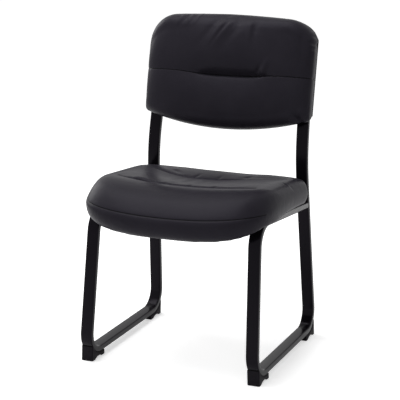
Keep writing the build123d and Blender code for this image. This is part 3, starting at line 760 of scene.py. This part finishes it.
rows, columns = 72, 80
dust_front = dust_nose_middle - dust_nose
upper, lower = [], []
for j in range(rows + 1):
    y = dust_front + (dust_rear - dust_front) * (1 - cos(pi * j / rows)) / 2
    clear = min(abs(y - middle) for middle in cross_middles) - tube_width / 2
    for i in range(columns + 1):
        u = 2 * i / columns - 1
        to_edge = min(1 - abs(u), (y - dust_front) / dust_nose, (dust_rear - y) / dust_corner)
        loose = min(1, max(0, to_edge * 5)) * min(1, max(0, clear / sag_run))
        sag = dust_sag * loose * (0.7 + 0.3 * sin(9 * u + 40 * y / dust_half))
        upper.append(on_seat((u * dust_width(y), y, dust_top - sag)))
        lower.append(on_seat((u * dust_width(y), y, dust_top - sag - dust_thickness)))
count, faces = len(upper), []
for j in range(rows):
    for i in range(columns):
        a, b = j * (columns + 1) + i, (j + 1) * (columns + 1) + i
        faces += [(a, a + 1, b + 1, b), (count + a, count + b, count + b + 1, count + a + 1)]
edge = list(range(columns + 1)) + [j * (columns + 1) + columns for j in range(1, rows + 1)]
edge += [rows * (columns + 1) + i for i in range(columns - 1, -1, -1)]
edge += [j * (columns + 1) for j in range(rows - 1, 0, -1)]
faces += [(a, b, count + b, count + a) for a, b in zip(edge, edge[1:] + edge[:1])]
dust_sheet = new_piece("dust_sheet", upper + lower, faces)

punch_points, punch_faces = [], []
for x in (-screw_across, screw_across):
    for y in cross_middles:
        first = len(punch_points)
        for z in (-hole_reach, hole_reach):
            for k in range(hole_sides):
                turn = 2 * pi * k / hole_sides
                round_hole = (x + screw_hole * cos(turn), y + screw_hole * sin(turn), z)
                punch_points.append(on_seat(round_hole))
        punch_faces += [tuple(first + k for k in face) for face in grid_faces(2, hole_sides)]


def cut(piece, points, faces):
    """Takes closed forms out of a piece."""
    tool = new_piece("tool", points, faces)
    taken = piece.modifiers.new("cut", "BOOLEAN")
    taken.operation = "DIFFERENCE"
    taken.solver = "EXACT"
    taken.object = tool
    bake_modifiers(piece)
    bpy.data.objects.remove(tool)


cut(dust_sheet, punch_points, punch_faces)
dress(dust_sheet, dust_cloth, "dust_cloth", "seat_dust_cover")
dust_area = pi * dust_half * dust_nose / 2 + 2 * dust_half * (dust_rear - dust_nose_middle)
dust_area -= (2 - pi / 2) * dust_corner**2

# Dust cover staples
# Fine galvanised wire staples, shot through the dust cover and the hem into the board every few
# centimetres round the edge.
staple_crown, staple_leg, staple_wire = 10 * mm, 3 * mm, 0.3 * mm
staple_pitch, staple_in, edge_steps = 38 * mm, 6 * mm, 60
staple_tree, given = node_tree("staples", [
    ("Pitch", "Float"), ("Half Crown", "Float"), ("Leg", "Float"), ("Wire", "Float"),
    ("Seed", "Int"), ("Steel", "Material"),
])
path = add_node(staple_tree, "GeometryNodeMeshToCurve", {"Mesh": given.outputs["Geometry"]})
spots = add_node(staple_tree, "GeometryNodeCurveToPoints", {
    "Curve": path.outputs["Curve"], "Length": given.outputs["Pitch"],
}, mode="LENGTH")
minus = add_node(staple_tree, "ShaderNodeMath", {
    0: given.outputs["Half Crown"], 1: -1.0,
}, operation="MULTIPLY")
ends = []
for across in (minus.outputs[0], given.outputs["Half Crown"]):
    low = add_node(staple_tree, "ShaderNodeCombineXYZ", {"X": across})
    high = add_node(staple_tree, "ShaderNodeCombineXYZ", {"X": across, "Z": given.outputs["Leg"]})
    ends.append((low.outputs["Vector"], high.outputs["Vector"]))
wires = [
    add_node(staple_tree, "GeometryNodeCurvePrimitiveLine", {"Start": a, "End": b})
    for a, b in (ends[0], ends[1], (ends[0][0], ends[1][0]))
]
bent = add_node(staple_tree, "GeometryNodeJoinGeometry", {})
for wire in wires:
    staple_tree.links.new(wire.outputs["Curve"], bent.inputs["Geometry"])
section = add_node(staple_tree, "GeometryNodeCurvePrimitiveCircle", {
    "Resolution": 6, "Radius": given.outputs["Wire"],
})
staple = add_node(staple_tree, "GeometryNodeCurveToMesh", {
    "Curve": bent.outputs["Geometry"], "Profile Curve": section.outputs["Curve"], "Fill Caps": True,
})
turn = add_node(staple_tree, "FunctionNodeAlignRotationToVector", {
    "Vector": spots.outputs["Tangent"],
}, axis="X", pivot_axis="Z")
askew = add_node(staple_tree, "FunctionNodeRandomValue", {
    2: -0.25, 3: 0.25, "Seed": given.outputs["Seed"],
}, data_type="FLOAT")
askew = add_node(staple_tree, "ShaderNodeCombineXYZ", {"Z": askew.outputs[1]})
turn = add_node(staple_tree, "FunctionNodeRotateRotation", {
    "Rotation": turn.outputs["Rotation"], "Rotate By": askew.outputs["Vector"],
})
row = add_node(staple_tree, "GeometryNodeInstanceOnPoints", {
    "Points": spots.outputs["Points"], "Instance": staple.outputs["Mesh"],
    "Rotation": turn.outputs["Rotation"],
})
real = add_node(staple_tree, "GeometryNodeRealizeInstances", {"Geometry": row.outputs["Instances"]})
steel = add_node(staple_tree, "GeometryNodeSetMaterial", {
    "Geometry": real.outputs["Geometry"], "Material": given.outputs["Steel"],
})
add_node(staple_tree, "NodeGroupOutput", {"Geometry": steel.outputs["Geometry"]})
half_edge = []
for k in range(edge_steps + 1):
    y = dust_front + (dust_rear - dust_front) * (1 - cos(pi * k / edge_steps)) / 2
    in_from_ends = min(max(y, dust_front + staple_in), dust_rear - staple_in)
    half_edge.append((max(0, dust_width(y) - staple_in), in_from_ends))
staple_z = dust_top - dust_thickness - staple_wire
loop = [(x, y, staple_z) for x, y in half_edge]
loop += [(-x, y, z) for x, y, z in reversed(loop)]
staples = repeated("dust_cover_staples", [loop], staple_tree, {
    "Pitch": staple_pitch, "Half Crown": staple_crown / 2, "Leg": staple_leg, "Wire": staple_wire,
    "Seed": 7, "Steel": zinc_plate,
})
set_vertices(staples.data, np.stack(on_seat(vertex_array(staples.data).T), 1))
dress(staples, zinc_plate, "zinc_steel")

# Back panel
# Hardboard, pressed from wood fibre and sawn to the back's outline, that closes the back behind the
# uprights under its own cover.
hardboard, tree = new_material("pressed_hardboard")
# Pressed wood fibre, brown and smooth with a fine speckle
place = add_node(tree, "ShaderNodeTexCoord", {}).outputs["Object"]
speckle = add_node(tree, "ShaderNodeTexNoise", {
    "Vector": place, "Scale": 1 / (1.5 * mm), "Detail": 4.0,
})
tone = add_node(tree, "ShaderNodeMix", {
    "Factor": speckle.outputs["Fac"], "A": linear("#6b4a2c"), "B": linear("#7d5a38"),
}, data_type="RGBA")
skin = add_node(tree, "ShaderNodeBsdfPrincipled", {
    "Base Color": tone.outputs["Result"], "Roughness": 0.6,
})
add_node(tree, "ShaderNodeOutputMaterial", {"Surface": skin.outputs["BSDF"]})
coat("back_rear_panel", hardboard)

# Back cushion
# Foam on the back board under the same cover, sewn across once and pulled in there in the middle,
# so that the upper part gathers into folds; the cover runs over the sides to the rear panel.
back_base_y, back_base_z = 201.3 * mm, 590 * mm
back_recline = radians(11.5)
back_half, back_rear, back_front = 234.65 * mm, 11.0 * mm, -74.45 * mm
back_top, back_top_bow, back_sag = 268.5 * mm, 9 * mm, 36 * mm
back_corner, back_rear_corner, back_side = 75 * mm, 50 * mm, 24 * mm
back_seam, back_seam_bow, back_seam_depth, back_seam_span = 112 * mm, 6 * mm, 6 * mm, 110 * mm
lower_face_in, upper_face_in, lower_face_up, upper_face_down = 6 * mm, 12 * mm, 34 * mm, 40 * mm
back_rear_low, back_rear_drop, back_rest, back_face = 12 * mm, 10 * mm, 4 * mm, -12 * mm
back_pull_middle, back_pull_span = 22 * mm, 88 * mm
back_crease, back_pull_crease = 1.2 * mm, 12 * mm
back_crease_above, back_pull_above, back_crease_below = 2.5 * mm, 8 * mm, 2 * mm
lower_corner_up, lower_corner_out = 16 * mm, 205 * mm
slot_play, slot_below, slot_above = 0.8 * mm, 40 * mm, 4 * mm
back_snap, back_voxel, back_relax = 1.2 * mm, 4.5 * mm, 2


def corner_drop(s, radius):
    """How far a round upper corner of the back falls at a share of half its width."""
    into = max(0, s * back_half - back_half + radius)
    return radius - sqrt(radius * radius - into * into)


def back_side_view(share):
    """Side view of the back cushion, to the rear and up along the uprights."""
    s = abs(share)
    front_round, rear_round = sqrt(1 - s**5), (1 - s**60) ** (1 / 3)
    edge = back_top - back_top_bow * s * s
    top = edge - corner_drop(s, back_corner)
    rear_top = edge - corner_drop(s, back_rear_corner) - back_rear_drop
    low = -back_sag * (1 - s * s)
    rear = (back_rear + back_side) * rear_round - back_side
    lower_face = (back_front + lower_face_in + back_side) * front_round - back_side
    upper_face = (back_front + upper_face_in + back_side) * front_round - back_side
    pulled = exp(-((s * back_half / back_seam_span) ** 4))
    seam_depth = (crease + back_seam_depth * pulled) * front_round
    seam_at = back_seam - back_seam_bow * pulled
    puff = (0.4 + (6 + 5 * pulled) * front_round) * mm
    q_rear = (rear, low + back_rear_low)
    q_low = (0.35 * (lower_face + back_side) - back_side, low)
    q_front = (lower_face, low + lower_face_up)
    q_seam = ((lower_face + upper_face) / 2 - 4 * mm * front_round + seam_depth, seam_at)
    q_upper = (upper_face, top - upper_face_down)
    q_top = (0.1 * (upper_face + back_side) - back_side, top)
    q_end = (rear, rear_top)
    outline = bowed(q_end, q_rear, 0, 40)
    outline += bowed(q_rear, q_low, (0.6 + 2.5 * front_round) * mm)
    outline += bowed(q_low, q_front, (0.8 + 9 * front_round) * mm, 12)
    outline += bowed(q_front, q_seam, puff, 16)
    outline += bowed(q_seam, q_upper, puff, 16)
    outline += bowed(q_upper, q_top, (0.8 + 10 * front_round) * mm, 14)
    return outline + bowed(q_top, q_end, 3 * mm * rear_round)


def on_back(point):
    """A point of the back cushion in the chair's frame: across, to the rear and up the uprights."""
    x, rearward, up = point
    return (
        x,
        back_base_y + rearward * cos(back_recline) + up * sin(back_recline),
        back_base_z - rearward * sin(back_recline) + up * cos(back_recline),
    )


def back_local(points):
    """The chair's frame as across, to the rear and up the uprights from the lower corners."""
    y, z = points[:, 1] - back_base_y, points[:, 2] - back_base_z
    c, s = cos(back_recline), sin(back_recline)
    return np.stack([points[:, 0], y * c - z * s, y * s + z * c], 1)


def back_seams(local):
    """Signed distances from points of the back cushion to its sewn seam, as one of three."""
    pulled = np.exp(-((local[:, 0] / back_seam_span) ** 4))
    across = np.where(
        local[:, 1] < back_face, local[:, 2] - back_seam + back_seam_bow * pulled, far_off,
    )
    return np.stack([across, np.full_like(across, far_off), np.full_like(across, far_off)], 1)


back_cushion = lofted("back_cushion", back_side_view, back_half, on_back)
evened(back_cushion, back_voxel, back_relax)
local = back_local(vertex_array(back_cushion.data))
sewn_to = (np.abs(back_seams(local)) < stitch_hold).any(1)
lower_corner = (local[:, 2] < lower_corner_up) & (np.abs(local[:, 0]) > lower_corner_out)
held = sewn_to | lower_corner | (local[:, 1] > back_rest)
plumped(back_cushion, held, most_swell)
subdivided(back_cushion)
slot_ring = tube_ring(tube_width + slot_play, tube_depth + slot_play, tube_corner)
up_leg = (upright_top - upright_kink) / abs(upright_top - upright_kink)
for side in (-1, 1):
    slot_points = []
    for flat in (upright_kink + up_leg * slot_below, upright_top + up_leg * slot_above):
        slot_points += [in_side_plane(flat + up_leg * 1j * r.imag, r.real, side) for r in slot_ring]
    cut(back_cushion, slot_points, grid_faces(2, len(slot_ring)))
local = back_local(vertex_array(back_cushion.data))
off_line = back_seams(local)[:, 0]
local[:, 2] -= np.where(np.abs(off_line) < back_snap, off_line, 0)
set_vertices(back_cushion.data, np.stack(on_back(local.T), 1))
pulled = np.exp(-(((local[:, 0] - back_pull_middle) / back_pull_span) ** 6))
seams = back_seams(local)
above = back_crease_above + back_pull_above * pulled
widths = np.where(seams[:, 0] >= 0, above, back_crease_below)
grooved(back_cushion, seams, (back_crease + back_pull_crease * pulled)[:, None], widths[:, None])
fan_of_folds = [
    (-22, 262, -84, 170, 11, -3.0), (-6, 258, -52, 178, 6, 2.0), (6, 256, -44, 180, 4, -1.2),
    (16, 256, -38, 174, 6, 2.0), (46, 264, -24, 152, 13, -3.4), (63, 260, 67, 182, 7, 2.2),
    (80, 258, 77, 180, 9, -2.2),
]
top_left_gathers = [
    (-130, 264, -150, 228, 5, 1.6), (-104, 266, -120, 226, 5, 1.6), (-82, 268, -100, 230, 5, 1.6),
    (-118, 264, -136, 228, 4, -1.4),
]
seam_tucks = [
    (104, 106, 124, 160, 7, 4.2), (92, 112, 104, 146, 6, -3.4), (-66, 108, -96, 122, 6, -1.4),
]
right_edge_puckers = [
    (204, 240, 212, 140, 9, -2.2), (224, 246, 226, 146, 6, 1.6), (214, 242, 262, 225, 4, -2.4),
    (220, 224, 264, 209, 3.5, -2.0), (216, 208, 262, 192, 5, -2.6), (222, 190, 264, 182, 3.5, -1.8),
    (192, 20, 226, -16, 8, -4.0), (212, 36, 228, -6, 6, 2.4),
]
back_folds = fan_of_folds + top_left_gathers + seam_tucks + right_edge_puckers
folded(back_cushion, local[:, [0, 2]], local[:, 1] < 0, back_folds)
dress(back_cushion, faux_leather, "black_cover", "back_cover", "back_foam")

# Back rear cover
# The rear panel's own piece of faux leather, pulled tight over the hardboard, turned in round its
# edge and set against the hem of the front cover.
rear_cover_front, rear_cover_rear = 11.1 * mm, 13.2 * mm
rear_cover_edge, rear_cover_roll, rear_cover_share = 4 * mm, 7 * mm, 0.985
columns, rows = 80, 60
outer, inner = [], []
for i in range(columns + 1):
    share = sin(pi / 2 * (2 * i / columns - 1)) * rear_cover_share
    s = abs(share)
    low = -back_sag * (1 - s * s) + back_rear_low + rear_cover_edge
    top_edge = back_top - back_top_bow * s * s
    high = top_edge - corner_drop(s, back_rear_corner) - back_rear_drop - rear_cover_edge
    for j in range(rows + 1):
        up = low + (high - low) * (1 - cos(pi * j / rows)) / 2
        near = min(up - low, high - up, (rear_cover_share - s) * back_half) / rear_cover_roll
        rise = sqrt(1 - (1 - min(1, max(0, near))) ** 2)
        rearward = rear_cover_front + (rear_cover_rear - rear_cover_front) * rise
        outer.append(on_back((share * back_half, rearward, up)))
        inner.append(on_back((share * back_half, rear_cover_front, up)))
count = len(outer)
faces = []
for i in range(columns):
    for j in range(rows):
        a, b = i * (rows + 1) + j, (i + 1) * (rows + 1) + j
        faces += [(a, b, b + 1, a + 1), (count + a + 1, count + b + 1, count + b, count + a)]
back_rear_cover = new_piece("back_rear_skin", outer + inner, faces)
grooved(back_rear_cover, np.full((len(back_rear_cover.data.vertices), 3), far_off), 0, far_off)
dress(back_rear_cover, faux_leather, "black_cover", "back_rear_cover")

# Stage
# A seamless pale floor and backdrop under soft studio light from above and from the left, and the
# camera that took the picture.
floor_half, paper_lift = 15.0, 0.52
corners = [(x * floor_half, y * floor_half, 0) for x, y in ((-1, -1), (1, -1), (1, 1), (-1, 1))]
floor = new_piece("floor", corners, [(0, 1, 2, 3)])
paper, paper_tree = new_material("white_background_paper")
world = bpy.data.worlds.new("white_studio")
bpy.context.scene.world = world
world.use_nodes = True
world.node_tree.nodes.clear()

# What the lens sees of paper and studio, straight or in a reflection, is white
seen_by_lens = []
for tree in (paper_tree, world.node_tree):
    ray = add_node(tree, "ShaderNodeLightPath", {})
    seen = add_node(tree, "ShaderNodeMath", {
        0: ray.outputs["Is Camera Ray"], 1: ray.outputs["Is Glossy Ray"],
    }, operation="MAXIMUM")
    seen = add_node(tree, "ShaderNodeMath", {
        0: seen.outputs[0], 1: ray.outputs["Is Transmission Ray"],
    }, operation="MAXIMUM")
    seen_by_lens.append(seen.outputs[0])

# Matt paper, lifted to white where the lens sees it
tree = paper_tree
lift = add_node(tree, "ShaderNodeMath", {0: seen_by_lens[0], 1: paper_lift}, operation="MULTIPLY")
matt = add_node(tree, "ShaderNodeBsdfDiffuse", {"Color": linear("#f4f4f4")})
glow = add_node(tree, "ShaderNodeEmission", {
    "Color": linear("#ffffff"), "Strength": lift.outputs[0],
})
both = add_node(tree, "ShaderNodeAddShader", {0: matt.outputs["BSDF"], 1: glow.outputs["Emission"]})
add_node(tree, "ShaderNodeOutputMaterial", {"Surface": both.outputs["Shader"]})
floor.data.materials.append(paper)
floor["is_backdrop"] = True

# The studio's light on matt surfaces is weaker from the right
tree = world.node_tree
way = add_node(tree, "ShaderNodeTexCoord", {})
way = add_node(tree, "ShaderNodeSeparateXYZ", {"Vector": way.outputs["Generated"]})
side = add_node(tree, "ShaderNodeMapRange", {
    "Value": way.outputs["X"], "From Min": -0.6, "From Max": 0.7, "To Min": 0.8, "To Max": 0.3,
})
strength = add_node(tree, "ShaderNodeMix", {
    "Factor": seen_by_lens[1], "A": side.outputs["Result"], "B": 1.0,
}, data_type="FLOAT")
sky = add_node(tree, "ShaderNodeBackground", {
    "Color": linear("#ffffff"), "Strength": strength.outputs["Result"],
})
add_node(tree, "ShaderNodeOutputWorld", {"Surface": sky.outputs["Background"]})

for name, where, aim, size, power in (
    ("top_box", (-0.5, -0.1, 2.6), (0, 0, 0.3), 1.8, 40),
    ("left_box", (-2.2, 0.9, 1.5), (0, 0, 0.5), 1.2, 18),
):
    light = bpy.data.lights.new(name, "AREA")
    light.shape = "SQUARE"
    light.size = size
    light.energy = power
    lamp = bpy.data.objects.new(name, light)
    lamp.location = where
    lamp.rotation_euler = (Vector(aim) - Vector(where)).to_track_quat("-Z", "Y").to_euler()
    bpy.context.scene.collection.objects.link(lamp)

bpy.context.scene.view_settings.view_transform = "Standard"
camera = bpy.data.objects.new("camera", bpy.data.cameras.new("camera"))
camera.data.lens = 127.5
camera.data.sensor_width = 36
azimuth, elevation, distance = radians(22.746), radians(14.02), 3.684
aim = Vector((-5.1, 12.2, 400.0)) * mm
away = Vector((sin(azimuth) * cos(elevation), -cos(azimuth) * cos(elevation), sin(elevation)))
camera.location = aim + away * distance
camera.rotation_euler = (-away).to_track_quat("-Z", "Y").to_euler()
bpy.context.scene.collection.objects.link(camera)
bpy.context.scene.camera = camera

low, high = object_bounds()
